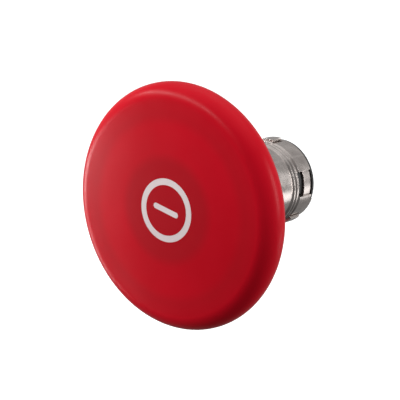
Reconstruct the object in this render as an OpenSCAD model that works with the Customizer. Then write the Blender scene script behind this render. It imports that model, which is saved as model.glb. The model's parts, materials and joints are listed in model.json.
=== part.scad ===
// Mushroom push-button head for a 22 mm panel hole, with a spring-return stem.
//
// The button's axis runs along Y: the red cap faces -Y and the barrel reaches back along +Y.
// The origin is on the axis, in the plane of the panel's front surface.
// Each piece is drawn about its own +Z, which points to the rear, and on_axis() lays it along +Y.

/* [Cap] */
// Outside diameter of the mushroom cap
cap_d = 60; // [56:0.5:66]
// Radius of the rounded edge between the face and the rim
cap_edge_r = 4.4; // [3.8:0.1:5]
// Radius of the gently domed face
cap_crown_r = 219; // [180:1:300]
// Distance from the panel to the widest part of the cap
cap_reach = 18.5; // [18.5:0.1:20]
// Thickness of the cap's face
cap_wall = 3; // [2.6:0.1:3]
// Radius of the opening behind the cap
cap_mouth_r = 26; // [24:0.1:26]

/* [Symbol] */
// Outside diameter of the white ring
ring_d = 15.4; // [12:0.1:17]
// Width of the ring's line
ring_line = 1.6; // [1:0.1:2]
// Length of the bar inside the ring
bar_length = 7.7; // [5:0.1:8]
// Width of the bar
bar_line = 1.4; // [1:0.1:2]
// Depth of the white inlays
inlay_depth = 0.6; // [0.4:0.1:1]
// Turn of the bar from horizontal, anticlockwise seen from the front
symbol_turn = -14; // [-180:1:180]

/* [Body] */
// Diameter of the front flange
flange_d = 29.5; // [28:0.5:32]
// Thickness of the flange
flange_t = 4.8; // [4.8:0.1:5.4]
// Thickness of the panel gasket
gasket_t = 1.2; // [0.8:0.1:1.4]
// Diameter of the register that fills the panel hole
register_d = 22; // [21.8:0.1:22.2]
// Length of the register behind the panel's front surface
register_length = 5.6; // [4:0.1:6.5]
// Diameter of the barrel behind the register
neck_d = 19.3; // [19.2:0.1:19.5]
// Diameter of the rear band
band_d = 20.1; // [19.9:0.1:20.3]
// Rear end of the metal barrel
barrel_end = 19.5; // [19.4:0.1:19.6]

/* [Lugs and slots] */
// Diameter over the bayonet lugs
lug_d = 21.5; // [21:0.1:21.6]
// Clock angle of the first lug, anticlockwise from +X seen from the front
lug_clock = 107; // [80:1:120]
// Half of the angle that a lug covers
lug_half = 23; // [15:1:26]
// Clock angle of the first slot
slot_clock = 4; // [-10:0.5:15]
// Half of the angle that a slot covers
slot_half = 18; // [10:0.5:20]
// Length of the slot along the barrel
slot_length = 2.2; // [1.4:0.1:2.4]

/* [Stem and spring] */
// Stroke of the button
travel = 4.3; // [4:0.1:4.5]
// Diameter of the stem's front guide
stem_d = 12; // [11.8:0.1:12.2]
// Diameter of the stem's nose, on which the cap turns
nose_d = 8; // [7.6:0.1:8.2]
// Width of the stem's square tail
tail_w = 6.4; // [6:0.1:6.6]
// Wire diameter of the return spring
wire_d = 0.8; // [0.6:0.05:0.85]
// Mean diameter of the return spring
coil_d = 10.8; // [10.6:0.1:11]
// Number of turns of the return spring
coil_turns = 5.25; // [4.5:0.25:5.25]

/* [Hidden] */

$fn = 96;
eps = 0.02;
cut = 1;
run_fit = 0.04;
seat_fit = 0.02;
face_gap = 0.05;

// Cap: the crown is tangent to the rounded edge
edge_centre_r = cap_d / 2 - cap_edge_r;
crown_angle = asin(edge_centre_r / (cap_crown_r - cap_edge_r));
crown_centre = -cap_reach + (cap_crown_r - cap_edge_r) * cos(crown_angle);
cap_front = crown_centre - cap_crown_r;
cap_ceiling = cap_front + cap_wall;
lip_angle = 72;
cap_lip = -cap_reach + cap_edge_r * sin(lip_angle);
ceiling_fillet = 1.4;

// Carrier and swivel, front to rear
screw_count = 3;
screw_ring_r = 14.5;
boss_r = 3.1;
carrier_front = -17.5;
carrier_t = 1.8;
carrier_r = 18.5;
hub_r = 7.6;
hub_front = -19;
bush_flange_t = 0.8;
bush_rear = -12.45;
bush_wall = 0.8;
bush_r = nose_d / 2 + run_fit + bush_wall;
washer_t = 0.8;
stem_shoulder = bush_rear + face_gap + washer_t;
nose_r = nose_d / 2;
nose_end = hub_front - 1.6;
clip_t = 0.8;
clip_r = 5.4;
nose_groove_r = 3.2;
pilot_r = 1.15;

// Body bore, front to rear
flange_front = -gasket_t - flange_t;
pocket_r = 9.4;
pocket_end = -2.6;
seal_front = -5;
bore_r = 8.62;
sleeve_front = 3;
sleeve_r = bore_r - seat_fit;
sleeve_bore_r = 6.6;
web_front = 14.5;
web_rear = 16.5;
cup_r = 7.9;
rim_r = 9.9;
rim_end = barrel_end + 0.9;
ear_clock = -47;
ear_half = 25;
ear_gap = 1;
relief_r = 10.6;
register_r = register_d / 2;
flange_r = flange_d / 2;

// Grooves, slots and lugs on the barrel
neck_r = neck_d / 2;
band_r = band_d / 2;
land_starts = [12, 13.15, 14.6];
land_length = 0.85;
slot_front = 14.6;
strip_r = 9.6;
lug_front = 15;
lug_rear = 18.4;
lug_groove = 3;

// Stem, front to rear
stem_r = stem_d / 2;
oring_wire_r = 0.45;
oring_z = -1.9;
oring_groove_r = 5.08;
oring_groove_half = 0.7;
stem_rear = 3.4;
mid_r = 4.4;
mid_end = web_front - travel - 0.4;
seat_t = 0.8;
tail_end = 18.1;
rear_groove_r = 2.9;
rear_clip_t = 0.75;
plate_front = 17.5;
plate_rear = 19.6;
plate_r = 7.5;
plate_screw_r = 1.45;
plate_screw_clear = 0.15;
washer_front = 18.8;
screw_head_front = 19.3;
rear_clip_r = 5.6;

// Points of a round stretch, from angle a0 to a1
function arc(cx, cz, r, a0, a1, n = 8) =
    [for (i = [0:n]) let (a = a0 + (a1 - a0) * i / n) [cx + r * cos(a), cz + r * sin(a)]];

// Lays a piece drawn about +Z along the button's axis, front towards -Y
module on_axis() {
    rotate([-90, 0, 0]) children();
}

// Turns a piece to a clock angle, anticlockwise from +X seen from the front
module at_clock(angle) {
    rotate([0, 0, -angle]) children();
}

// Solid disc between two planes
module disc(r, z0, z1) {
    translate([0, 0, z0]) cylinder(r = r, h = z1 - z0);
}

// Plain ring between two planes
module ring(r_out, r_in, z0, z1) {
    difference() {
        disc(r_out, z0, z1);
        disc(r_in, z0 - cut, z1 + cut);
    }
}

// Wedge about the axis that covers angles from -half to half
module wedge(half, z0, z1) {
    reach = 20;
    translate([0, 0, z0])
        linear_extrude(z1 - z0)
            polygon([[0, 0], [reach, -reach * tan(half)], [reach, reach * tan(half)]]);
}

// Part of a ring that covers angles from -half to half
module ring_sector(r_out, r_in, z0, z1, half) {
    intersection() {
        ring(r_out, r_in, z0, z1);
        wedge(half, z0 - cut, z1 + cut);
    }
}

// Square bar about the axis
module square_bar(width, z0, z1) {
    translate([-width / 2, -width / 2, z0]) cube([width, width, z1 - z0]);
}

// Copies a piece round the axis
module around(count, radius, start = 90) {
    for (i = [0:count - 1])
        rotate([0, 0, start + 360 * i / count]) translate([radius, 0, 0]) children();
}

// Round-ended bar of the symbol, seen from the front
module bar_shape(length, width) {
    flat = length - width;
    square([flat, width], center = true);
    for (side = [-1, 1])
        translate([side * flat / 2, 0]) circle(d = width);
}

// Domed face of the cap, from its centre to the rounded edge
function crown_line() = arc(0, crown_centre, cap_crown_r, -90, -90 + crown_angle, 6);

// Space just under the domed face, which the white inlays fill
module under_crown() {
    rotate_extrude() polygon(concat(crown_line(), [[0, cap_ceiling]]));
}

module ring_inlay() {
    ring(ring_d / 2, ring_d / 2 - ring_line, cap_front - cut, cap_front + inlay_depth);
}

module bar_inlay() {
    at_clock(symbol_turn)
        translate([0, 0, cap_front - cut])
            linear_extrude(cut + inlay_depth) bar_shape(bar_length, bar_line);
}

// Outline of the cap: crown, rounded edge, lip, inner wall and ceiling
module cap_outline() {
    polygon(concat(
        crown_line(),
        arc(edge_centre_r, -cap_reach, cap_edge_r, -90 + crown_angle, lip_angle, 16),
        [[cap_mouth_r, cap_lip]],
        arc(cap_mouth_r - ceiling_fillet, cap_ceiling + ceiling_fillet, ceiling_fillet, 0, -90, 5),
        [[0, cap_ceiling]]
    ));
}

module cap_ribs() {
    rib_w = 1.2;
    rib_start = 9.6;
    rib_end = cap_mouth_r + 0.6;
    rib_depth = 2.2;
    for (i = [0:5])
        rotate([0, 0, 30 + 60 * i])
            translate([rib_start, -rib_w / 2, cap_ceiling - 0.5])
                cube([rib_end - rib_start, rib_w, rib_depth + 0.5]);
}

module mushroom_cap() {
    locator_r = 10.2;
    locator_bore_r = 8.9;
    pilot_front = -20.6;
    color("red") on_axis() difference() {
        union() {
            rotate_extrude() cap_outline();
            ring(locator_r, locator_bore_r, cap_ceiling - 0.5, carrier_front);
            around(screw_count, screw_ring_r) disc(boss_r, cap_ceiling - 0.5, carrier_front);
            cap_ribs();
        }
        around(screw_count, screw_ring_r) disc(pilot_r, pilot_front, carrier_front + cut);
        ring_inlay();
        bar_inlay();
    }
}

module symbol_ring() {
    color("white") on_axis() intersection() {
        ring_inlay();
        under_crown();
    }
}

module symbol_bar() {
    color("white") on_axis() intersection() {
        bar_inlay();
        under_crown();
    }
}

module cap_carrier() {
    clear_r = 1.6;
    web_w = 1.4;
    hub_rear = bush_rear - bush_flange_t;
    web_top = carrier_front + carrier_t + 1.6;
    color("dimgray") on_axis() difference() {
        union() {
            disc(carrier_r, carrier_front, carrier_front + carrier_t);
            disc(hub_r, hub_front, hub_rear);
            for (i = [0:2])
                rotate([0, 0, 150 + 120 * i])
                    translate([0, -web_w / 2, carrier_front])
                        cube([carrier_r - 1, web_w, web_top - carrier_front]);
        }
        disc(bush_r + seat_fit, hub_front - cut, hub_rear + cut);
        around(screw_count, screw_ring_r) disc(clear_r, carrier_front - cut, web_top + cut);
    }
}

// Cross slot in a screw's head
module cross_recess(length, width, z0, depth) {
    for (turn = [0, 90])
        rotate([0, 0, turn])
            translate([-length / 2, -width / 2, z0]) cube([length, width, depth]);
}

module carrier_screws() {
    head_front = carrier_front + carrier_t;
    head_t = 1.7;
    head_r = 2.7;
    shank_front = -20.4;
    recess_w = 0.8;
    recess_l = 3.2;
    color("silver") on_axis() around(screw_count, screw_ring_r) difference() {
        union() {
            disc(pilot_r - seat_fit, shank_front, head_front + eps);
            disc(head_r, head_front, head_front + head_t);
        }
        cross_recess(recess_l, recess_w, head_front + head_t / 2, head_t);
    }
}

module swivel_bush() {
    flange_r = 6.2;
    color("gold") on_axis() difference() {
        union() {
            disc(bush_r, hub_front, bush_rear);
            disc(flange_r, bush_rear - bush_flange_t, bush_rear);
        }
        disc(nose_r + run_fit, hub_front - cut, bush_rear + cut);
    }
}

// Turned outline of the stem in front of its square tail
module stem_outline() {
    bevel = 0.5;
    polygon([
        [0, nose_end],
        [nose_r - bevel, nose_end],
        [nose_r, nose_end + bevel],
        [nose_r, stem_shoulder],
        [stem_r - bevel, stem_shoulder],
        [stem_r, stem_shoulder + bevel],
        [stem_r, stem_rear],
        [mid_r, stem_rear],
        [mid_r, mid_end],
        [0, mid_end]
    ]);
}

module plunger() {
    hole_front = 11;
    color("darkgray") on_axis() difference() {
        union() {
            rotate_extrude() stem_outline();
            intersection() {
                square_bar(tail_w, mid_end - eps, tail_end);
                disc(mid_r, mid_end - cut, tail_end + cut);
            }
        }
        ring(stem_r + cut, oring_groove_r, oring_z - oring_groove_half, oring_z + oring_groove_half);
        ring(nose_r + cut, nose_groove_r, hub_front - clip_t - 2 * face_gap, hub_front);
        ring(mid_r + cut, rear_groove_r, web_rear, web_rear + rear_clip_t + 2 * face_gap);
        disc(plate_screw_r + seat_fit, hole_front, tail_end + cut);
    }
}

module thrust_washer() {
    rim_step = 0.1;
    color("silver") on_axis()
        ring(stem_r - rim_step, nose_r + run_fit, bush_rear + face_gap, stem_shoulder);
}

// Retaining clip that slides into a groove from the side
module groove_clip(r_out, r_in, z0, z1) {
    gap_half = 28;
    lobe_r = 0.5;
    difference() {
        ring(r_out, r_in, z0, z1);
        wedge(gap_half, z0 - cut, z1 + cut);
        for (angle = [120, 240])
            rotate([0, 0, angle]) translate([r_in + lobe_r / 2, 0, 0]) disc(lobe_r, z0 - cut, z1 + cut);
    }
}

module nose_clip() {
    clip_rear = hub_front - face_gap;
    color("silver") on_axis()
        groove_clip(clip_r, nose_groove_r + seat_fit, clip_rear - clip_t, clip_rear);
}

module plunger_oring() {
    color("black") on_axis() translate([0, 0, oring_z])
        rotate_extrude()
            translate([oring_groove_r + seat_fit + oring_wire_r, 0]) circle(r = oring_wire_r, $fn = 32);
}

module spring_seat() {
    rim_gap = 0.3;
    color("silver") on_axis()
        ring(sleeve_bore_r - rim_gap, mid_r + face_gap, stem_rear, stem_rear + seat_t);
}

// Height of the spring's wire centre after t turns: closed coils at both ends, open between
spring_front = stem_rear + seat_t + wire_d / 2 + face_gap;
spring_rear = web_front - wire_d / 2 - face_gap;
closed_pitch = wire_d * 1.08;
open_pitch = (spring_rear - spring_front - 2 * closed_pitch) / (coil_turns - 2);
function coil_z(t) =
    t < 1 ? spring_front + closed_pitch * t
    : t > coil_turns - 1 ? spring_rear - closed_pitch * (coil_turns - t)
    : spring_front + closed_pitch + open_pitch * (t - 1);

// One corner of the wire's section after t turns
function coil_point(t, corner) =
    let (r = coil_d / 2 + wire_d / 2 * cos(corner))
    [r * cos(360 * t), r * sin(360 * t), coil_z(t) + wire_d / 2 * sin(corner)];

module return_spring() {
    steps = 24;
    sides = 8;
    rings = floor(coil_turns * steps);
    points = [for (i = [0:rings]) for (s = [0:sides - 1]) coil_point(i / steps, 360 * s / sides)];
    skin = [for (i = [0:rings - 1]) for (s = [0:sides - 1])
        let (a = i * sides + s, b = i * sides + (s + 1) % sides)
        [a, a + sides, b + sides, b]];
    front_end = [for (s = [0:sides - 1]) s];
    rear_end = [for (s = [sides - 1:-1:0]) rings * sides + s];
    color("lightsteelblue") on_axis()
        polyhedron(points = points, faces = concat(skin, [front_end], [rear_end]), convexity = 10);
}

module retaining_clip() {
    clip_front = web_rear + face_gap;
    color("silver") on_axis()
        groove_clip(rear_clip_r, rear_groove_r + seat_fit, clip_front, clip_front + rear_clip_t);
}

module actuator_plate() {
    pad_t = 0.6;
    pad_r = 5.6;
    recess_r = 3.4;
    color("black") on_axis() difference() {
        union() {
            disc(plate_r, plate_front, plate_rear);
            ring(plate_r, pad_r, plate_rear - eps, plate_rear + pad_t);
        }
        square_bar(tail_w + 2 * seat_fit, plate_front - cut, tail_end);
        disc(plate_screw_r + plate_screw_clear, plate_front - cut, plate_rear + cut);
        disc(recess_r, washer_front, plate_rear + cut);
    }
}

module plate_screw() {
    shank_front = 11.4;
    head_t = 1;
    head_r = 2.7;
    recess_w = 0.8;
    recess_l = 3.6;
    color("silver") on_axis() difference() {
        union() {
            disc(plate_screw_r, shank_front, screw_head_front + eps);
            disc(head_r, screw_head_front, screw_head_front + head_t);
        }
        cross_recess(recess_l, recess_w, screw_head_front + head_t / 2, head_t);
    }
}

module lock_washer() {
    washer_r = 3.1;
    color("silver") on_axis()
        ring(washer_r, plate_screw_r + plate_screw_clear, washer_front, screw_head_front);
}

// Three turned lands with bevelled front edges, in front of the rear band
function land(z) = [
    [neck_r, z],
    [band_r, z + band_r - neck_r],
    [band_r, z + land_length],
    [neck_r, z + land_length]
];

// Turned outside of the body, from the flange's front face to the rear end
module body_outline() {
    edge_r = 1.2;
    face_drop = 0.5;
    rear_bevel = 0.3;
    polygon(concat(
        [[0, flange_front], [pocket_r + 1, flange_front]],
        arc(flange_r - edge_r, flange_front + face_drop + edge_r, edge_r, -80, 0, 6),
        [
            [flange_r, -gasket_t],
            [relief_r, -gasket_t],
            [relief_r, 0],
            [register_r, 0],
            [register_r, register_length],
            [neck_r, register_length + register_r - neck_r]
        ],
        land(land_starts[0]),
        land(land_starts[1]),
        [
            [neck_r, land_starts[2]],
            [band_r, land_starts[2] + band_r - neck_r],
            [band_r, barrel_end - rear_bevel],
            [band_r - rear_bevel, barrel_end],
            [0, barrel_end]
        ]
    ));
}

module bezel_body() {
    slot_rear = slot_front + slot_length;
    lug_root = 0.3;
    color("silver") on_axis() difference() {
        union() {
            difference() {
                rotate_extrude() body_outline();
                for (side = [0, 180])
                    at_clock(lug_clock + side)
                        ring_sector(band_r + cut, strip_r, lug_front, lug_rear, lug_half + lug_groove);
            }
            for (side = [0, 180])
                at_clock(lug_clock + side)
                    ring_sector(lug_d / 2, strip_r - lug_root, lug_front, lug_rear, lug_half);
            for (side = [0, 180])
                at_clock(ear_clock + side)
                    ring_sector(band_r, bore_r - lug_root, barrel_end - lug_root, rim_end, ear_half);
        }
        disc(pocket_r, flange_front - cut, pocket_end);
        disc(bore_r, pocket_end - cut, rim_end + cut);
        for (side = [0, 180])
            at_clock(slot_clock + side) {
                ring_sector(band_r + cut, bore_r - cut, slot_front, slot_rear, slot_half);
                ring_sector(band_r + cut, strip_r, slot_rear - eps, barrel_end + eps, slot_half);
            }
    }
}

module guide_sleeve() {
    tab_r = 9;
    tab_gap = 0.1;
    rim_edge = 0.3;
    hole_w = tail_w + 2 * run_fit;
    color("black") on_axis() difference() {
        union() {
            disc(sleeve_r, sleeve_front, barrel_end + eps);
            rotate_extrude() polygon([
                [0, barrel_end],
                [rim_r, barrel_end],
                [rim_r, rim_end - rim_edge],
                [rim_r - rim_edge, rim_end],
                [0, rim_end]
            ]);
            for (side = [0, 180])
                at_clock(slot_clock + side)
                    ring_sector(tab_r, sleeve_r - 0.5, slot_front + tab_gap,
                        slot_front + slot_length - tab_gap, slot_half - 1);
        }
        disc(sleeve_bore_r, sleeve_front - cut, web_front);
        disc(cup_r, web_rear, rim_end + cut);
        for (side = [0, 180])
            at_clock(ear_clock + side)
                ring_sector(rim_r + cut, sleeve_r, barrel_end - eps, rim_end + cut, ear_half + ear_gap);
        intersection() {
            square_bar(hole_w, web_front - cut, web_rear + cut);
            disc(mid_r + run_fit, web_front - 2 * cut, web_rear + 2 * cut);
        }
    }
}

module front_bush() {
    color("ivory") on_axis() ring(bore_r - seat_fit, stem_r + run_fit, pocket_end, sleeve_front);
}

module wiper_seal() {
    lip_front = seal_front + 0.4;
    lip_root = pocket_end - 0.8;
    lip_t = 0.4;
    throat = 1.2;
    outer_r = pocket_r - seat_fit;
    lip_r = stem_r + face_gap;
    color("black") on_axis() rotate_extrude() polygon([
        [outer_r, seal_front],
        [outer_r, pocket_end],
        [lip_r + throat, pocket_end],
        [lip_r + throat / 2, lip_root],
        [lip_r, lip_front],
        [lip_r + lip_t, lip_front],
        [lip_r + throat, seal_front]
    ]);
}

module seal_retainer() {
    stem_gap = 0.5;
    sunk = 0.1;
    color("gray") on_axis()
        ring(pocket_r - seat_fit, stem_r + stem_gap, flange_front + sunk, seal_front);
}

module panel_gasket() {
    rim_step = 0.5;
    outer_r = flange_r - rim_step;
    bevel = 0.25;
    inner_r = relief_r + face_gap;
    seat_inner_r = register_r + face_gap;
    step_z = -gasket_t / 2;
    color("black") on_axis() rotate_extrude() polygon([
        [inner_r, -gasket_t],
        [outer_r, -gasket_t],
        [outer_r, -bevel],
        [outer_r - bevel, 0],
        [seat_inner_r, 0],
        [seat_inner_r, step_z],
        [inner_r, step_z]
    ]);
}

mushroom_cap();
symbol_ring();
symbol_bar();
cap_carrier();
carrier_screws();
swivel_bush();
plunger();
thrust_washer();
nose_clip();
plunger_oring();
spring_seat();
return_spring();
retaining_clip();
actuator_plate();
plate_screw();
lock_washer();
bezel_body();
guide_sleeve();
front_bush();
wiper_seal();
seal_retainer();
panel_gasket();
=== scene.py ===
"""Looks for a mushroom push-button head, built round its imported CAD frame. Metres, button axis along +Y."""

import json
import math

import bmesh
import bpy
from mathutils import Matrix, Vector


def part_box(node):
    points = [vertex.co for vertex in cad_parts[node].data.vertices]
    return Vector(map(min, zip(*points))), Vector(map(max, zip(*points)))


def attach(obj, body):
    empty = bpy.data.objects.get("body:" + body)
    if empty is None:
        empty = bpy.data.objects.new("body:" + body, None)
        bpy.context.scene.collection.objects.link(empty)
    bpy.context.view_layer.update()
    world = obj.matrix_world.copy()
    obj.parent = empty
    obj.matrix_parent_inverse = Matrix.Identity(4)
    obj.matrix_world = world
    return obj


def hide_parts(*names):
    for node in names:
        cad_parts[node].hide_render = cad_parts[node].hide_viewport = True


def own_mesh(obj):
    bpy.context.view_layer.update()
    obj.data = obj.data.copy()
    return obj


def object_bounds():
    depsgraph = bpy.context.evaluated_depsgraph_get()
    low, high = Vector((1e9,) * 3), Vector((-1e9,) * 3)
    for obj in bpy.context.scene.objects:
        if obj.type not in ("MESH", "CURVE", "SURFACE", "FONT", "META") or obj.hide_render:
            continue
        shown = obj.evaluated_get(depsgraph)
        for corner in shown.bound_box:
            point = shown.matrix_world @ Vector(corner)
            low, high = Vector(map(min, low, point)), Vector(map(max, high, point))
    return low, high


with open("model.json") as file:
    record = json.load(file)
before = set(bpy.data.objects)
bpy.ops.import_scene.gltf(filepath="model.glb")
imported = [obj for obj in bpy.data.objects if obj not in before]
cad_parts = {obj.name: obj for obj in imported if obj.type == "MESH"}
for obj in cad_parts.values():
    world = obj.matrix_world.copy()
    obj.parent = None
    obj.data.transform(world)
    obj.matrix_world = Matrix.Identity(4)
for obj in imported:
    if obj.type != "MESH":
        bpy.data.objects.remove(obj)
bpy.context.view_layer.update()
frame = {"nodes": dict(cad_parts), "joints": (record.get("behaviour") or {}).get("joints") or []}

MM = 0.001
LATHE_STEPS = 360
SHARP_ANGLE = math.radians(38)
CREASE_ANGLE = math.radians(50)
FINE, SMALL, SOFT, WIDE = 0.05 * MM, 0.1 * MM, 0.2 * MM, 0.3 * MM  # fillets that recur
nodes = frame["nodes"]


# ---------------------------------------------------------------- sizes read from the frame

def span(node):
    """Front and rear of a node along the button's axis."""
    low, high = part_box(node)
    return low.y, high.y


def reach(node):
    """Largest radius of a round node about the button's axis."""
    low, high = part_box(node)
    return max(high.x, high.z, -low.x, -low.z)


def joint(name):
    """Facts of a joint."""
    return next(j for j in frame["joints"] if j["name"] == name)


# ---------------------------------------------------------------- outlines

def arc(radius, y, size, start, end, count=10):
    """Outline points of a round stretch about (radius, y), with angles in degrees from +radius towards +Y."""
    angles = [math.radians(start + (end - start) * i / count) for i in range(count + 1)]
    return [(radius + size * math.cos(a), y + size * math.sin(a)) for a in angles]


def rounded(corners, count=5):
    """Outline with each (radius, y, fillet) corner rounded by its fillet."""
    points = []
    for i, (r, y, fillet) in enumerate(corners):
        here = Vector((r, y))
        back = (Vector(corners[i - 1][:2]) - here).normalized()
        ahead = (Vector(corners[(i + 1) % len(corners)][:2]) - here).normalized()
        if fillet == 0:
            points.append((r, y))
            continue
        half = math.acos(max(-1, min(1, back.dot(ahead)))) / 2
        centre = here + (back + ahead).normalized() * fillet / math.sin(half)
        touch_in = here + back * fillet / math.tan(half) - centre
        touch_out = here + ahead * fillet / math.tan(half) - centre
        for k in range(count + 1):
            toward = touch_in.lerp(touch_out, k / count).normalized()
            points.append(tuple(centre + toward * fillet))
    return points


# ---------------------------------------------------------------- mesh building

def add_object(name, mesh):
    """Object of a mesh, linked to the scene."""
    obj = bpy.data.objects.new(name, mesh)
    bpy.context.scene.collection.objects.link(obj)
    return obj


def from_bmesh(name, bm):
    """Closed object with outward faces from a bmesh."""
    bmesh.ops.recalc_face_normals(bm, faces=bm.faces)
    mesh = bpy.data.meshes.new(name)
    bm.to_mesh(mesh)
    bm.free()
    return add_object(name, mesh)


def around_y(radius, y, angle):
    """Point at a clock angle, anticlockwise from +X seen from the front."""
    return Vector((radius * math.cos(angle), y, radius * math.sin(angle)))


def lathe(bm, outline, steps=LATHE_STEPS):
    """Turns a closed outline of (radius, y) a full turn about the axis."""
    phase = math.pi / steps
    columns = [
        [bm.verts.new(around_y(r, y, phase + 2 * math.pi * i / steps)) for r, y in outline]
        for i in range(steps)
    ]
    count = len(outline)
    for i in range(steps):
        near, far = columns[i], columns[(i + 1) % steps]
        for k in range(count):
            after = (k + 1) % count
            if outline[k][0] == 0 and outline[after][0] == 0:
                continue
            bm.faces.new((near[k], near[after], far[after], far[k]))
    bmesh.ops.remove_doubles(bm, verts=bm.verts, dist=1e-7)


def turned(name, outline, steps=LATHE_STEPS):
    """Object turned from a closed outline."""
    bm = bmesh.new()
    lathe(bm, outline, steps)
    return from_bmesh(name, bm)


def ring_section(r_in, r_out, front, rear):
    """Section of a plain ring."""
    return (r_in, front), (r_out, front), (r_out, rear), (r_in, rear)


def sector(name, section, start, end):
    """Section of (radius, y) swept from one clock angle to another, both in whole degrees."""
    bm = bmesh.new()
    angles = [math.radians(degrees) for degrees in range(start, end + 1)]
    columns = [[bm.verts.new(around_y(r, y, a)) for r, y in section] for a in angles]
    count = len(section)
    for near, far in zip(columns, columns[1:]):
        for k in range(count):
            after = (k + 1) % count
            bm.faces.new((near[k], near[after], far[after], far[k]))
    bm.faces.new(columns[0])
    bm.faces.new(reversed(columns[-1]))
    return from_bmesh(name, bm)


def block(name, size, centre, turn=0.0):
    """Box centred at a point, turned about the axis by an angle in radians."""
    bm = bmesh.new()
    bmesh.ops.create_cube(bm, size=1)
    bm.transform(Matrix.Rotation(-turn, 4, "Y") @ Matrix.Translation(centre) @ Matrix.Diagonal((*size, 1)))
    return from_bmesh(name, bm)


def prism(name, outline, front, rear):
    """Solid between two planes across the axis, from an outline of (x, z)."""
    bm = bmesh.new()
    near = [bm.verts.new((x, front, z)) for x, z in outline]
    far = [bm.verts.new((x, rear, z)) for x, z in outline]
    bm.faces.new(near)
    bm.faces.new(reversed(far))
    for k in range(len(outline)):
        after = (k + 1) % len(outline)
        bm.faces.new((near[k], far[k], far[after], near[after]))
    return from_bmesh(name, bm)


def baked(obj):
    """Applies an object's modifiers to its mesh."""
    bpy.context.view_layer.update()
    evaluated = obj.evaluated_get(bpy.context.evaluated_depsgraph_get())
    mesh = bpy.data.meshes.new_from_object(evaluated)
    obj.modifiers.clear()
    obj.data = mesh


def carve(obj, tools, operation="DIFFERENCE"):
    """Cuts tools out of an object, or joins them to it, and removes them."""
    for tool in tools:
        step = obj.modifiers.new("carve", "BOOLEAN")
        step.operation = operation
        step.solver = "EXACT"
        step.object = tool
    baked(obj)
    for tool in tools:
        bpy.data.objects.remove(tool)


def softened(obj, width, segments=2):
    """Rounds an object's sharp edges, and shades it smooth with its large faces kept true."""
    if width:
        bevel = obj.modifiers.new("soft_edges", "BEVEL")
        bevel.width = width
        bevel.segments = segments
        bevel.limit_method = "ANGLE"
        bevel.angle_limit = SHARP_ANGLE
        bevel.use_clamp_overlap = False
        baked(obj)
    obj.data.shade_smooth()
    obj.data.set_sharp_from_angle(angle=CREASE_ANGLE)
    obj.data.transform(Matrix.Scale(1 / MM, 4))  # faces as small as these in metres would get no weight
    weighted = obj.modifiers.new("true_faces", "WEIGHTED_NORMAL")
    weighted.keep_sharp = True
    baked(obj)
    obj.data.transform(Matrix.Scale(MM, 4))


def piece(obj, material, body, slot, *replaced):
    """Gives a finished piece its material and body, and hides what it stands for. The slot is not used."""
    obj.data.materials.clear()
    obj.data.materials.append(material)
    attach(obj, body)
    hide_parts(*replaced)


# ---------------------------------------------------------------- node-based materials

def new_material(name):
    """Empty node material with its Principled shader and coordinates in metres."""
    material = bpy.data.materials.new(name)
    material.use_nodes = True
    tree = material.node_tree
    shader = tree.nodes["Principled BSDF"]
    coords = tree.nodes.new("ShaderNodeTexCoord")
    return material, tree, shader, coords.outputs["Object"]


def scaled(tree, vector, scale):
    """Coordinates stretched by a scale along each axis."""
    mapping = tree.nodes.new("ShaderNodeMapping")
    mapping.inputs["Scale"].default_value = scale
    tree.links.new(vector, mapping.inputs["Vector"])
    return mapping.outputs["Vector"]


def noise(tree, vector, scale, detail=3.0, rough=0.5):
    """Grey noise at a scale, in turns per metre of its coordinates."""
    node = tree.nodes.new("ShaderNodeTexNoise")
    node.inputs["Scale"].default_value = scale
    node.inputs["Detail"].default_value = detail
    node.inputs["Roughness"].default_value = rough
    tree.links.new(vector, node.inputs["Vector"])
    return node.outputs["Fac"]


def ranged(tree, value, low, high, start=0.3, end=0.7):
    """Value mapped from start..end to low..high."""
    node = tree.nodes.new("ShaderNodeMapRange")
    for socket, number in (("From Min", start), ("From Max", end), ("To Min", low), ("To Max", high)):
        node.inputs[socket].default_value = number
    tree.links.new(value, node.inputs["Value"])
    return node.outputs["Result"]


def tinted(tree, value, dark, light, start=0.3, end=0.7):
    """Colour that runs from dark to light with a grey value."""
    ramp = tree.nodes.new("ShaderNodeValToRGB")
    ramp.color_ramp.elements[0].position = start
    ramp.color_ramp.elements[1].position = end
    ramp.color_ramp.elements[0].color = (*dark, 1)
    ramp.color_ramp.elements[1].color = (*light, 1)
    tree.links.new(value, ramp.inputs["Fac"])
    return ramp.outputs["Color"]


def mixed(tree, share, under, over):
    """Colour that goes from one colour socket to a flat colour by a share."""
    node = tree.nodes.new("ShaderNodeMix")
    node.data_type = "RGBA"
    tree.links.new(share, node.inputs["Factor"])
    tree.links.new(under, node.inputs["A"])
    node.inputs["B"].default_value = (*over, 1)
    return node.outputs["Result"]


def worn_edges(tree, strength, start=0.53, end=0.6):
    """Share of wear along convex edges, broken up by noise."""
    geometry = tree.nodes.new("ShaderNodeNewGeometry")
    coords = tree.nodes.new("ShaderNodeTexCoord")
    edge = ranged(tree, geometry.outputs["Pointiness"], 0, strength, start, end)
    broken = tree.nodes.new("ShaderNodeMath")
    broken.operation = "MULTIPLY"
    patches = ranged(tree, noise(tree, coords.outputs["Object"], 900, 4, 0.65), 0.2, 1)
    tree.links.new(edge, broken.inputs[0])
    tree.links.new(patches, broken.inputs[1])
    return broken.outputs["Value"]


def bumped(tree, shader, height, depth):
    """Bump of a depth in metres on a shader."""
    bump = tree.nodes.new("ShaderNodeBump")
    bump.inputs["Distance"].default_value = depth
    tree.links.new(height, bump.inputs["Height"])
    tree.links.new(bump.outputs["Normal"], shader.inputs["Normal"])


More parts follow.
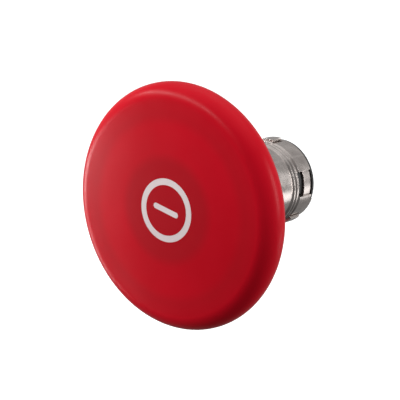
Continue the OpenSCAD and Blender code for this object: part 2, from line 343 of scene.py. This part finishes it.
def moulded(name, dark, light, rough=(0.3, 0.42), grain=2600, grain_depth=0.01 * MM, specular=0.5,
            wear=None):
    """Moulded plastic: fine spark-eroded grain, slow colour drift, handling marks and rubbed edges."""
    material, tree, shader, coords = new_material(name)
    colour = tinted(tree, noise(tree, coords, 45, 2), dark, light)
    if wear:
        colour = mixed(tree, worn_edges(tree, 0.5), colour, wear)
    tree.links.new(colour, shader.inputs["Base Color"])
    marks = noise(tree, coords, 220, 4, 0.65)
    tree.links.new(ranged(tree, marks, *rough), shader.inputs["Roughness"])
    bumped(tree, shader, noise(tree, coords, grain, 2), grain_depth)
    shader.inputs["Specular IOR Level"].default_value = specular
    return material


def by_radius(tree, vector, stops):
    """Grey level that follows the distance from the axis, from stops of (radius, level)."""
    flat = scaled(tree, vector, (1, 0, 1))
    length = tree.nodes.new("ShaderNodeVectorMath")
    length.operation = "LENGTH"
    tree.links.new(flat, length.inputs[0])
    outermost = stops[-1][0]
    ramp = tree.nodes.new("ShaderNodeValToRGB")
    ramp.color_ramp.interpolation = "EASE"
    for place, level in stops[1:-1]:
        ramp.color_ramp.elements.new(place / outermost)
    for element, (place, level) in zip(ramp.color_ramp.elements, stops):
        element.position = place / outermost
        element.color = (level, level, level, 1)
    tree.links.new(ranged(tree, length.outputs["Value"], 0, 1, 0, outermost), ramp.inputs["Fac"])
    return ramp.outputs["Color"]


def paint_shade_through_wall(material, stops, shade):
    """Paints shade into a thin moulding's colour by distance from the axis: painted shade where parts lie
    behind its wall and dim the light through it.
    """
    tree = material.node_tree
    shader = tree.nodes["Principled BSDF"]
    under = shader.inputs["Base Color"].links[0].from_socket
    coords = tree.nodes["Texture Coordinate"].outputs["Object"]
    tree.links.new(mixed(tree, by_radius(tree, coords, stops), under, shade), shader.inputs["Base Color"])


def turned_metal(name, dark, light, rough=(0.16, 0.3), line_scale=3800, line_depth=0.002 * MM):
    """Metal turned about the button's axis: fine rings, cloudy colour, smears and bright edges."""
    material, tree, shader, coords = new_material(name)
    shader.inputs["Metallic"].default_value = 1.0
    cloud = noise(tree, coords, 260, 5, 0.6)
    colour = tinted(tree, cloud, dark, light)
    bright = tuple(min(1, 1.25 * c) for c in light)
    tree.links.new(mixed(tree, worn_edges(tree, 0.45), colour, bright), shader.inputs["Base Color"])
    rings = noise(tree, scaled(tree, coords, (0.02, 1, 0.02)), line_scale, 3, 0.7)
    smears = noise(tree, coords, 420, 4, 0.6)
    tree.links.new(ranged(tree, smears, *rough), shader.inputs["Roughness"])
    bumped(tree, shader, rings, line_depth)
    return material


def rubbery(name, dark, light):
    """Matt rubber with a bloom and a coarse skin."""
    return moulded(name, dark, light, rough=(0.62, 0.8), grain=1500, grain_depth=0.03 * MM, specular=0.3)


RED = moulded("red_cap", (0.64, 0.002, 0.013), (0.72, 0.003, 0.017), (0.28, 0.36), 3000, specular=0.10)
# Painted shade: the red is darkened over the middle of the face and in a ring near its edge, where inner
# parts lie behind the thin wall.
paint_shade_through_wall(RED, (
    (0, 0.8), (11 * MM, 0.75), (14.5 * MM, 0.12), (20 * MM, 0.05), (23 * MM, 0.4), (25 * MM, 0.3),
    (27 * MM, 0), (30 * MM, 0),
), (0.48, 0.008, 0.016))
WHITE = moulded("white_inlay", (0.90, 0.77, 0.78), (0.98, 0.86, 0.87), rough=(0.4, 0.5))
BLACK = moulded("black_nylon", (0.006, 0.006, 0.006), (0.014, 0.013, 0.013), (0.36, 0.5),
                wear=(0.06, 0.06, 0.06))
GREY = moulded("grey_nylon", (0.20, 0.20, 0.21), (0.28, 0.28, 0.29), rough=(0.35, 0.5))
ACETAL = moulded("acetal", (0.72, 0.70, 0.63), (0.82, 0.80, 0.74), rough=(0.35, 0.45))
RUBBER = rubbery("nitrile_rubber", (0.012, 0.012, 0.012), (0.030, 0.029, 0.028))
ZINC = turned_metal("plated_zinc", (0.48, 0.43, 0.405), (0.66, 0.60, 0.57), rough=(0.2, 0.32))
STEEL = turned_metal("plated_steel", (0.55, 0.55, 0.56), (0.70, 0.70, 0.71), rough=(0.2, 0.36))
SPRING = turned_metal("spring_steel", (0.42, 0.43, 0.45), (0.55, 0.56, 0.58), rough=(0.22, 0.34))
BRONZE = turned_metal("bronze", (0.55, 0.34, 0.14), (0.70, 0.47, 0.22), rough=(0.25, 0.4))

FINISHES = {
    "mushroom_cap": RED, "symbol_ring": WHITE, "symbol_bar": WHITE, "cap_carrier": BLACK,
    "carrier_screws": STEEL, "swivel_bush": BRONZE, "plunger": GREY, "thrust_washer": STEEL,
    "nose_clip": SPRING, "plunger_oring": RUBBER, "spring_seat": STEEL, "return_spring": SPRING,
    "retaining_clip": SPRING, "actuator_plate": BLACK, "plate_screw": STEEL, "lock_washer": STEEL,
    "bezel_body": ZINC, "guide_sleeve": BLACK, "front_bush": ACETAL, "wiper_seal": RUBBER,
    "seal_retainer": STEEL, "panel_gasket": RUBBER,
}

for node_name, node_material in FINISHES.items():
    nodes[node_name].data.materials.clear()
    nodes[node_name].data.materials.append(node_material)


# ---------------------------------------------------------------- red cap and its symbol

CAP_EDGE = 4.4 * MM
CAP_LIP_ANGLE = 72
CAP_WALL = 3 * MM
CAP_MOUTH = 26 * MM
CEILING_FILLET = 1.4 * MM
CARRIER_FRONT = span("cap_carrier")[0] + 1.5 * MM
SCREW_RING = 14.5 * MM
SCREW_CLOCKS = (30, 150, 270)
RING_LINE = 1.6 * MM
RING_STEPS = 6
BAR_LENGTH, BAR_LINE = 7.7 * MM, 1.4 * MM
BAR_END_STEPS = 12
BAR_TURN = math.radians(-14)
INLAY_SUNK = 0.03 * MM
INLAY_GAP = 0.02 * MM
INLAY_EDGE = 0.04 * MM
MOUTH_CHAMFER = 0.3 * MM
ROOT = 0.5 * MM
LOCATOR_IN, LOCATOR_OUT = 8.9 * MM, 10.2 * MM
BOSS_R, PILOT_R, PILOT_FLOOR = 3.1 * MM, 1.15 * MM, 1 * MM
MOULDED_EDGE = 0.15 * MM
RIB_COUNT = 6
RIB_IN, RIB_OUT = 9.6 * MM, CAP_MOUTH + 0.6 * MM
RIB_WIDTH, RIB_DEPTH = 1.2 * MM, 2.2 * MM

cap_r = reach("mushroom_cap")
cap_front = span("mushroom_cap")[0]
cap_widest = joint("cap_turn")["pos_m"][1]
ring_r = reach("symbol_ring")
inlay_rear = span("symbol_ring")[1]


def crown_radius():
    """Radius of the domed face that is tangent to the rounded edge and touches the cap's front."""
    inner = cap_r - CAP_EDGE
    depth = cap_widest - cap_front
    return (inner ** 2 + depth ** 2 - CAP_EDGE ** 2) / (2 * (depth - CAP_EDGE))


crown_r = crown_radius()
crown_y = cap_front + crown_r


def crown_at(radius):
    """Place of the domed face along the axis at a radius."""
    return crown_y - math.sqrt(crown_r ** 2 - radius ** 2)


def crown_points(r_from, r_to, count, sunk=0.0):
    """Outline points along the domed face."""
    radii = [r_from + (r_to - r_from) * i / count for i in range(count + 1)]
    return [(r, crown_at(r) + sunk) for r in radii]


def cap_outline():
    """Cap section with the ring's groove in its face, from the centre out, round the edge and back inside."""
    edge_r = cap_r - CAP_EDGE
    tangent = math.degrees(math.asin(edge_r / (crown_r - CAP_EDGE)))
    groove_in, groove_out = ring_r - RING_LINE - INLAY_GAP, ring_r + INLAY_GAP
    ceiling = cap_front + CAP_WALL
    lip = arc(edge_r, cap_widest, CAP_EDGE, -90 + tangent, CAP_LIP_ANGLE, 30)
    return (
        crown_points(0, groove_in, RING_STEPS)
        + [(groove_in, inlay_rear), (groove_out, inlay_rear)]
        + crown_points(groove_out, crown_r * math.sin(math.radians(tangent)), 16)
        + lip[1:]
        + [(CAP_MOUTH + MOUTH_CHAMFER, lip[-1][1]), (CAP_MOUTH, lip[-1][1] - MOUTH_CHAMFER)]
        + arc(CAP_MOUTH - CEILING_FILLET, ceiling + CEILING_FILLET, CEILING_FILLET, 0, -90, 8)
        + [(0, ceiling)]
    )


def bar_outline(grow=0.0):
    """Round-ended outline of the symbol's bar, in x and z."""
    half = (BAR_LENGTH - BAR_LINE) / 2
    radius = BAR_LINE / 2 + grow
    points = []
    for side in (1, -1):
        for k in range(BAR_END_STEPS + 1):
            angle = math.radians(90 * side - 180 * k / BAR_END_STEPS)
            points.append((side * half + radius * math.cos(angle), radius * math.sin(angle)))
    turn = Matrix.Rotation(BAR_TURN, 2)
    return [tuple(turn @ Vector(p)) for p in points]


def build_cap():
    """Shell with its face groove, inner ribs, locating ring and screw bosses."""
    ceiling = cap_front + CAP_WALL
    root = ceiling - ROOT
    cap = turned("red_cap_shell", cap_outline())
    locator = rounded([
        (LOCATOR_IN, root, 0), (LOCATOR_OUT, root, 0),
        (LOCATOR_OUT, CARRIER_FRONT, MOULDED_EDGE), (LOCATOR_IN, CARRIER_FRONT, MOULDED_EDGE),
    ])
    added = [turned("locator", locator, 120)]
    for clock in SCREW_CLOCKS:
        boss = rounded([
            (0, root, 0), (BOSS_R, root, 0), (BOSS_R, CARRIER_FRONT, MOULDED_EDGE),
            (PILOT_R, CARRIER_FRONT, SMALL), (PILOT_R, root + PILOT_FLOOR, 0), (0, root + PILOT_FLOOR, 0),
        ])
        post = turned("boss", boss, 64)
        post.data.transform(Matrix.Translation(around_y(SCREW_RING, 0, math.radians(clock))))
        added.append(post)
    rib_rear = ceiling + RIB_DEPTH
    rib_size = (RIB_OUT - RIB_IN, rib_rear - root, RIB_WIDTH)
    rib_centre = Vector(((RIB_IN + RIB_OUT) / 2, (root + rib_rear) / 2, 0))
    for i in range(RIB_COUNT):
        added.append(block("rib", rib_size, rib_centre, math.radians(30 + 360 / RIB_COUNT * i)))
    carve(cap, added, "UNION")
    carve(cap, [prism("bar_recess", bar_outline(INLAY_GAP), cap_front - 1 * MM, inlay_rear)])
    softened(cap, 0)
    piece(cap, RED, "cap", "red_plastic", "mushroom_cap")


def build_symbol():
    """White ring and bar, let into the face a hair below it, with softened edges."""
    inner = ring_r - RING_LINE
    top = crown_points(inner, ring_r, RING_STEPS, INLAY_SUNK)
    ring = turned("white_ring", rounded(
        [(r, y, INLAY_EDGE if k in (0, RING_STEPS) else 0) for k, (r, y) in enumerate(top)]
        + [(ring_r, inlay_rear, 0), (inner, inlay_rear, 0)], 3))
    softened(ring, 0)
    piece(ring, WHITE, "cap", "white_plastic", "symbol_ring")
    bar = prism("white_bar", bar_outline(), cap_front + INLAY_SUNK, inlay_rear)
    softened(bar, INLAY_EDGE)
    piece(bar, WHITE, "cap", "white_plastic", "symbol_bar")


# ---------------------------------------------------------------- metal body, sleeve and gasket

FLANGE_FACE_R, FLANGE_FACE_EDGE = 12.2 * MM, 0.8 * MM
SLOPE_WIDTH, SLOPE_DROP = 1.6 * MM, 0.45 * MM
RIM_DROP, RIM_EDGE = 1.3 * MM, 0.72 * MM
POCKET_R, BORE_R = 9.4 * MM, 8.62 * MM
POCKET_END = -2.6 * MM
REGISTER_R, REGISTER_LENGTH = 11 * MM, 5.6 * MM
RELIEF_R = 10.6 * MM
NECK_R, BAND_R, STRIP_R = 9.65 * MM, 10.05 * MM, 9.6 * MM
LAND_STARTS = (12 * MM, 13.15 * MM, 14.6 * MM)
LAND_LENGTH = 0.85 * MM
LUG_R = 10.75 * MM
LUG_FRONT, LUG_REAR = 15.06 * MM, 18.4 * MM
LUG_CLOCKS = (107, 287)
LUG_HALF, LUG_GAP = 23, 3
GAP_MARGIN = 0.13 * MM  # keeps the faces of two cuts from meeting
SLOT_CLOCKS = (4, 184)
SLOT_HALF = 18
SLOT_FRONT, SLOT_REAR = 14.6 * MM, 16.8 * MM
EAR_CLOCKS = (-47, 133)
EAR_HALF, EAR_GAP = 25, 1
EAR_LENGTH = 0.9 * MM
EDGE = 0.07 * MM
SLEEVE_BORE_R, CUP_R, TAB_R = 6.6 * MM, 7.9 * MM, 9 * MM
WEB_FRONT, WEB_REAR = 14.5 * MM, 16.5 * MM
WEB_HOLE = 6.48 * MM

flange_r = reach("bezel_body")
flange_front, ear_rear = span("bezel_body")
barrel_rear = ear_rear - EAR_LENGTH
flange_rear = span("panel_gasket")[0]


def land_corners(start, end):
    """Raised land with a bevelled front edge."""
    rise = BAND_R - NECK_R
    return [
        (NECK_R, start, FINE), (BAND_R, start + rise, SMALL),
        (BAND_R, end, 0.08 * MM), (NECK_R, end, FINE),
    ]


def body_corners():
    """Outside and bore of the metal body, with a fillet for each corner."""
    corners = [
        (POCKET_R, flange_front, 0.15 * MM), (FLANGE_FACE_R, flange_front, FLANGE_FACE_EDGE),
        (flange_r - SLOPE_WIDTH, flange_front + SLOPE_DROP, 1 * MM),
        (flange_r, flange_front + RIM_DROP, RIM_EDGE),
        (flange_r, flange_rear, 0.12 * MM), (RELIEF_R, flange_rear, FINE),
        (RELIEF_R, 0, FINE), (REGISTER_R, 0, SMALL),
        (REGISTER_R, REGISTER_LENGTH, SOFT),
        (NECK_R, REGISTER_LENGTH + REGISTER_R - NECK_R, WIDE),
    ]
    for start in LAND_STARTS[:2]:
        corners += land_corners(start, start + LAND_LENGTH)
    corners += land_corners(LAND_STARTS[2], ear_rear)[:2]
    corners += [
        (BAND_R, ear_rear, 0.25 * MM), (BORE_R, ear_rear, SMALL),
        (BORE_R, POCKET_END, FINE), (POCKET_R, POCKET_END, SMALL),
    ]
    return corners


def build_body():
    """Flange, register, turned lands, rear band, bayonet lugs, side slots and rear ears."""
    body = turned("metal_body", rounded(body_corners()))
    inside, outside, behind = BORE_R - 1 * MM, LUG_R + 1 * MM, ear_rear + 1 * MM
    lug = ring_section(STRIP_R - 0.3 * MM, LUG_R, LUG_FRONT, LUG_REAR)
    gap = ring_section(STRIP_R, outside, LUG_FRONT - GAP_MARGIN, LUG_REAR + GAP_MARGIN)
    slot = (
        (inside, SLOT_FRONT), (outside, SLOT_FRONT), (outside, behind),
        (STRIP_R, behind), (STRIP_R, SLOT_REAR), (inside, SLOT_REAR),
    )
    between_ears = ring_section(inside, outside, barrel_rear, behind)
    lugs, cuts = [], []
    for clock in LUG_CLOCKS:
        lugs.append(sector("lug", lug, clock - LUG_HALF - 1, clock + LUG_HALF + 1))
        cuts.append(sector("gap", gap, clock - LUG_HALF - LUG_GAP, clock - LUG_HALF))
        cuts.append(sector("gap", gap, clock + LUG_HALF, clock + LUG_HALF + LUG_GAP))
    for clock in SLOT_CLOCKS:
        cuts.append(sector("slot", slot, clock - SLOT_HALF, clock + SLOT_HALF))
    for clock in EAR_CLOCKS:
        cuts.append(sector("between_ears", between_ears, clock + EAR_HALF, clock + 180 - EAR_HALF))
    carve(body, lugs, "UNION")
    carve(body, cuts)
    softened(body, EDGE)
    piece(body, ZINC, "housing", "plated_zinc", "bezel_body")


def build_sleeve():
    """Black sleeve in the bore: its rear rim, its cup and the square hole in its web."""
    sleeve_front, rim_rear = span("guide_sleeve")
    rim_r = reach("guide_sleeve")
    sleeve_r = BORE_R - 0.02 * MM
    sleeve = turned("black_sleeve", rounded([
        (0, WEB_FRONT, 0), (SLEEVE_BORE_R, WEB_FRONT, SOFT), (SLEEVE_BORE_R, sleeve_front, SOFT),
        (sleeve_r, sleeve_front, SOFT), (sleeve_r, barrel_rear, 0),
        (rim_r, barrel_rear, 0.06 * MM), (rim_r, rim_rear, 0.35 * MM),
        (CUP_R, rim_rear, 0.35 * MM), (CUP_R, WEB_REAR, WIDE), (0, WEB_REAR, 0),
    ]))
    web_middle = Vector((0, (WEB_FRONT + WEB_REAR) / 2, 0))
    carve(sleeve, [block("hole", (WEB_HOLE, 2 * (WEB_REAR - WEB_FRONT), WEB_HOLE), web_middle)])
    tab = ring_section(sleeve_r - 0.5 * MM, TAB_R, SLOT_FRONT + 0.1 * MM, SLOT_REAR - 0.1 * MM)
    carve(sleeve, [
        sector("tab", tab, clock - SLOT_HALF + 1, clock + SLOT_HALF - 1) for clock in SLOT_CLOCKS
    ], "UNION")
    beyond = 0.5 * MM
    notch = ring_section(sleeve_r + 0.01 * MM, rim_r + beyond, barrel_rear - beyond, rim_rear + beyond)
    notch_half = EAR_HALF + EAR_GAP
    carve(sleeve, [
        sector("ear_notch", notch, clock - notch_half, clock + notch_half) for clock in EAR_CLOCKS
    ])
    softened(sleeve, 0)
    piece(sleeve, BLACK, "housing", "black_plastic", "guide_sleeve")


def build_gasket():
    """Rubber ring behind the flange, with two shallow sealing grooves in its rear face."""
    front, rear = span("panel_gasket")
    outer = reach("panel_gasket")
    inner, seat = RELIEF_R + 0.05 * MM, REGISTER_R + 0.05 * MM
    groove = 0.18 * MM
    corners = [(inner, front, FINE), (outer, front, 0.08 * MM), (outer, rear, 0.25 * MM)]
    for middle in (13.1 * MM, 12.1 * MM):
        corners += [
            (middle + 1.5 * groove, rear, FINE), (middle, rear - groove, 0.08 * MM),
            (middle - 1.5 * groove, rear, FINE),
        ]
    corners += [(seat, rear, 0.06 * MM), (seat, (front + rear) / 2, 0), (inner, (front + rear) / 2, 0)]
    gasket = turned("rubber_gasket", rounded(corners, 4))
    softened(gasket, 0)
    piece(gasket, RUBBER, "housing", "rubber", "panel_gasket")


# ---------------------------------------------------------------- carrier, screws, spring and rear plate

CARRIER_T = 1.8 * MM
WEB_CLOCKS = (90, 210, 330)
HUB_R, HUB_BORE_R, SCREW_HOLE_R = 7.6 * MM, 4.86 * MM, 1.6 * MM
THREAD_PITCH, THREAD_DEPTH, THREAD_RUN_OUT = 0.45 * MM, 0.18 * MM, 0.6 * MM
HEAD_CROWN, RECESS_SHARE = 0.75, 0.62
BLADE_TAPER = (0.45, 0.6)
HEAD_R = 2.7 * MM
PAD_R, PAD_HEIGHT, SCREW_SEAT_R, PLATE_HOLE_R = 5.6 * MM, 0.6 * MM, 3.4 * MM, 1.6 * MM
SOCKET = 6.44 * MM
WIRE, TURNS, GROUND = 0.8 * MM, 5.25, 0.12 * MM
CLOSED_PITCH = 1.08 * WIRE
WIRE_SIDES, COIL_STEPS = 16, 48
RETAINER_BORE_R = 6.5 * MM


def merged(name, objects):
    """One object of several."""
    bm = bmesh.new()
    for obj in objects:
        bm.from_mesh(obj.data)
        bpy.data.objects.remove(obj)
    return from_bmesh(name, bm)


def cross_blades(length, width, bottom, top, turn):
    """Two crossed blades, narrower at the bottom, that cut a screw's recess."""
    blades = []
    for quarter in (0, 90):
        blade = block("blade", (length, 2 * (top - bottom), width), Vector((0, top, 0)))
        for vertex in blade.data.vertices:
            if vertex.co.y < top:
                vertex.co.x *= BLADE_TAPER[0]
                vertex.co.z *= BLADE_TAPER[1]
        blade.data.transform(Matrix.Rotation(math.radians(quarter + turn), 4, "Y"))
        blades.append(blade)
    return blades


def pan_screw(name, shank_r, head_r, tip, under, top, recess, turn):
    """Screw on the axis: pointed shank, thread and pan head with a cross recess."""
    shank_end = under - THREAD_RUN_OUT
    crests = int((shank_end - tip - THREAD_RUN_OUT) / THREAD_PITCH)
    thread = []
    for i in range(crests):
        crest = shank_end - i * THREAD_PITCH
        thread += [(shank_r, crest, 0), (shank_r - THREAD_DEPTH, crest - THREAD_PITCH / 2, 0)]
    corners = [
        (0, top, 0), (head_r, top, HEAD_CROWN * (top - under)), (head_r, under, SMALL),
        (shank_r, under, FINE), *thread, (0.45 * shank_r, tip, SMALL), (0, tip, 0),
    ]
    screw = turned(name, rounded(corners, 6), 64)
    depth = RECESS_SHARE * (top - under)
    carve(screw, cross_blades(*recess, top - depth, top, turn))
    return screw


def build_carrier():
    """Round plate with its hub, three webs and screw holes."""
    front, rear = span("cap_carrier")
    plate_front = CARRIER_FRONT
    plate_rear = plate_front + CARRIER_T
    outer = reach("cap_carrier")
    web_top = plate_rear + 1.6 * MM
    carrier = turned("black_carrier", rounded([
        (HUB_BORE_R, front, 0.15 * MM), (HUB_R, front, SOFT), (HUB_R, plate_front, SMALL),
        (outer, plate_front, 0.25 * MM), (outer, plate_rear, 0.35 * MM),
        (HUB_R + 0.1 * MM, plate_rear, WIDE), (HUB_R, rear, 0.25 * MM), (HUB_BORE_R, rear, 0.15 * MM),
    ]), 72)
    web_r, web_w = outer - 1 * MM, 1.4 * MM
    web_in = HUB_BORE_R + 1 * MM
    carve(carrier, [
        block("web", (web_r - web_in, web_top - plate_front - 0.4 * MM, web_w),
              Vector(((web_r + web_in) / 2, (web_top + plate_front + 0.4 * MM) / 2, 0)), math.radians(clock))
        for clock in WEB_CLOCKS
    ], "UNION")
    holes = []
    for clock in SCREW_CLOCKS:
        hole = turned("hole", [(0, front), (SCREW_HOLE_R, front), (SCREW_HOLE_R, rear), (0, rear)], 48)
        hole.data.transform(Matrix.Translation(around_y(SCREW_RING, 0, math.radians(clock))))
        holes.append(hole)
    carve(carrier, holes)
    softened(carrier, 0.1 * MM)
    piece(carrier, BLACK, "cap", "black_plastic", "cap_carrier")


def build_carrier_screws():
    """Three pan-head screws, each turned a different amount."""
    tip, top = span("carrier_screws")
    screws = []
    for clock, turn in zip(SCREW_CLOCKS, (12, 57, 33)):
        screw = pan_screw("screw", 1.13 * MM, HEAD_R, tip, top - 1.7 * MM, top, (3.2 * MM, 0.8 * MM), turn)
        screw.data.transform(Matrix.Translation(around_y(SCREW_RING, 0, math.radians(clock))))
        screws.append(screw)
    screws = merged("carrier_screw_set", screws)
    softened(screws, 0)
    piece(screws, STEEL, "cap", "steel", "carrier_screws")


def build_plate_screw():
    """Pan-head screw in the middle of the rear plate."""
    tip, top = span("plate_screw")
    screw = pan_screw("rear_screw", 1.45 * MM, HEAD_R, tip, top - 1 * MM, top, (3.6 * MM, 0.8 * MM), 24)
    softened(screw, 0)
    piece(screw, STEEL, "plunger", "steel", "plate_screw")


def build_actuator_plate():
    """Round plate with a raised outer pad, a screw recess and the square socket for the stem."""
    front, rear = span("actuator_plate")
    outer = reach("actuator_plate")
    floor, seat, socket_end = rear - PAD_HEIGHT, span("lock_washer")[0], span("plunger")[1]
    plate = turned("black_actuator", rounded([
        (PLATE_HOLE_R, front, 0), (outer, front, 0.25 * MM), (outer, rear, WIDE),
        (PAD_R, rear, SOFT), (PAD_R, floor, SOFT), (SCREW_SEAT_R, floor, 0.15 * MM),
        (SCREW_SEAT_R, seat, SMALL), (PLATE_HOLE_R, seat, 0),
    ]), 180)
    depth = socket_end - front
    carve(plate, [block("socket", (SOCKET, 2 * depth, SOCKET), Vector((0, front, 0)))])
    softened(plate, 0)
    piece(plate, BLACK, "plunger", "black_plastic", "actuator_plate")


def build_spring():
    """Compression spring with a closed, ground coil at each end; its shortening as the button is pushed is
    not built here.
    """
    front, rear = span("return_spring")
    mean_r = reach("return_spring") - WIRE / 2
    low, high = front + WIRE / 2, rear - WIRE / 2
    pitch = (high - low - 2 * CLOSED_PITCH) / (TURNS - 2)

    def centre_y(t):
        if t < 1:
            return low + CLOSED_PITCH * t
        if t > TURNS - 1:
            return high - CLOSED_PITCH * (TURNS - t)
        return low + CLOSED_PITCH + pitch * (t - 1)

    bm = bmesh.new()
    rings = []
    for i in range(int(TURNS * COIL_STEPS) + 1):
        t = i / COIL_STEPS
        ring = []
        for k in range(WIRE_SIDES):
            a = 2 * math.pi * k / WIRE_SIDES
            y = centre_y(t) + WIRE / 2 * math.sin(a)
            y = max(front + GROUND, min(rear - GROUND, y))
            ring.append(bm.verts.new(around_y(mean_r + WIRE / 2 * math.cos(a), y, -2 * math.pi * t)))
        rings.append(ring)
    for near, far in zip(rings, rings[1:]):
        for k in range(WIRE_SIDES):
            after = (k + 1) % WIRE_SIDES
            bm.faces.new((near[k], near[after], far[after], far[k]))
    bm.faces.new(rings[0])
    bm.faces.new(reversed(rings[-1]))
    spring = from_bmesh("coil_spring", bm)
    spring.data.shade_smooth()
    spring.data.set_sharp_from_angle(angle=SHARP_ANGLE)
    piece(spring, SPRING, "housing", "spring_steel", "return_spring")
    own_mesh(spring)


def build_retainer():
    """Plated ring that holds the wiper seal, rolled over at its bore."""
    front, rear = span("seal_retainer")
    outer, inner = reach("seal_retainer"), RETAINER_BORE_R
    retainer = turned("seal_ring", rounded([
        (inner, front + 0.15 * MM, SMALL), (inner + 0.5 * MM, front, WIDE), (outer, front, 0.12 * MM),
        (outer, rear, 0), (inner, rear, SMALL),
    ]), 180)
    softened(retainer, 0)
    piece(retainer, STEEL, "housing", "steel", "seal_retainer")


build_cap()
build_symbol()
build_carrier()
build_carrier_screws()
build_plate_screw()
build_actuator_plate()
build_spring()
build_retainer()
build_body()
build_sleeve()
build_gasket()


# ---------------------------------------------------------------- floor, light and camera

FLOOR_DROP = 40 * MM
CAMERA_AZIMUTH, CAMERA_ELEVATION = 39.5, 13.2
CAMERA_DISTANCE = 0.7
VIEW_WIDTH = 95 * MM
AIM_RIGHT, AIM_UP = 4.34 * MM, 1.44 * MM


def stage_floor():
    """Plain pale floor under the cap."""
    low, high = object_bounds()
    bpy.ops.mesh.primitive_plane_add(size=12, location=(0, 0, low.z - FLOOR_DROP))
    floor = bpy.context.object
    floor.name = "floor"
    material, tree, shader, coords = new_material("pale_floor")
    shader.inputs["Base Color"].default_value = (0.92, 0.92, 0.92, 1)
    shader.inputs["Roughness"].default_value = 0.9
    shader.inputs["Specular IOR Level"].default_value = 0.1
    shader.inputs["Emission Color"].default_value = (1, 1, 1, 1)
    shader.inputs["Emission Strength"].default_value = 0.45
    floor.data.materials.append(material)
    floor.visible_diffuse = False
    floor.visible_glossy = False


def softbox(name, at, size, power):
    """Rectangular soft light that faces the middle of the panel hole."""
    data = bpy.data.lights.new(name, "AREA")
    data.shape = "RECTANGLE"
    data.size, data.size_y = size
    data.energy = power
    light = bpy.data.objects.new(name, data)
    bpy.context.scene.collection.objects.link(light)
    light.location = at
    light.rotation_mode = "QUATERNION"
    light.rotation_quaternion = (-Vector(at)).to_track_quat("-Z", "Y")


# Name, place, size and watts of each soft light
LIGHTS = (
    ("left_key", (-0.41, -0.15, -0.13), (0.24, 0.24), 3.4),
    ("top_strip", (-0.46, -0.46, 0.44), (0.85, 0.04), 3.9),
    ("rim_light", (0.85, 0.50, 0.05), (0.3, 0.9), 6),
    ("low_card", (0.45, 0.55, -0.30), (0.35, 0.22), 0.45),
)
# Brightness of the surroundings from straight down to straight up, and the share of it in front
SKY = ((0.0, 0.10), (0.18, 0.28), (0.36, 0.38), (0.50, 0.40), (0.84, 0.42), (0.93, 1.30))
FRONT_SHARE = 0.55


def studio_world():
    """Surroundings that are dim below and in front, and bright overhead."""
    world = bpy.data.worlds.new("studio")
    world.use_nodes = True
    tree = world.node_tree
    coords = tree.nodes.new("ShaderNodeTexCoord")
    split = tree.nodes.new("ShaderNodeSeparateXYZ")
    tree.links.new(coords.outputs["Generated"], split.inputs["Vector"])
    height = ranged(tree, split.outputs["Z"], 0, 1, -1, 1)
    ramp = tree.nodes.new("ShaderNodeValToRGB")
    elements = ramp.color_ramp.elements
    for place, level in SKY[2:]:
        elements.new(place)
    top = max(level for place, level in SKY)
    for element, (place, level) in zip(elements, SKY):
        element.position = place
        element.color = (level / top, level / top, level / top, 1)
    tree.links.new(height, ramp.inputs["Fac"])
    background = tree.nodes["Background"]
    tree.links.new(ramp.outputs["Color"], background.inputs["Color"])
    strength = ranged(tree, split.outputs["Y"], FRONT_SHARE * top, top, -0.6, 0.4)
    tree.links.new(strength, background.inputs["Strength"])
    bpy.context.scene.world = world


def studio_camera():
    """Long lens at the photograph's viewing angle, aimed so that the cap lies left of centre."""
    azimuth, elevation = math.radians(CAMERA_AZIMUTH), math.radians(CAMERA_ELEVATION)
    centre = Vector((0, cap_widest, 0))
    back = Vector((
        math.sin(azimuth) * math.cos(elevation),
        -math.cos(azimuth) * math.cos(elevation),
        math.sin(elevation),
    ))
    turn = back.to_track_quat("Z", "Y")
    right, up = turn @ Vector((1, 0, 0)), turn @ Vector((0, 1, 0))
    aim = centre + right * AIM_RIGHT + up * AIM_UP
    data = bpy.data.cameras.new("camera")
    data.sensor_width = 36
    data.lens = data.sensor_width * CAMERA_DISTANCE / VIEW_WIDTH
    data.clip_start, data.clip_end = 0.05, 50
    camera = bpy.data.objects.new("camera", data)
    bpy.context.scene.collection.objects.link(camera)
    camera.location = aim + back * CAMERA_DISTANCE
    camera.rotation_mode = "QUATERNION"
    camera.rotation_quaternion = turn
    bpy.context.scene.camera = camera


stage_floor()
studio_world()
for light in LIGHTS:
    softbox(*light)
studio_camera()
bpy.context.scene.view_settings.view_transform = "Standard"
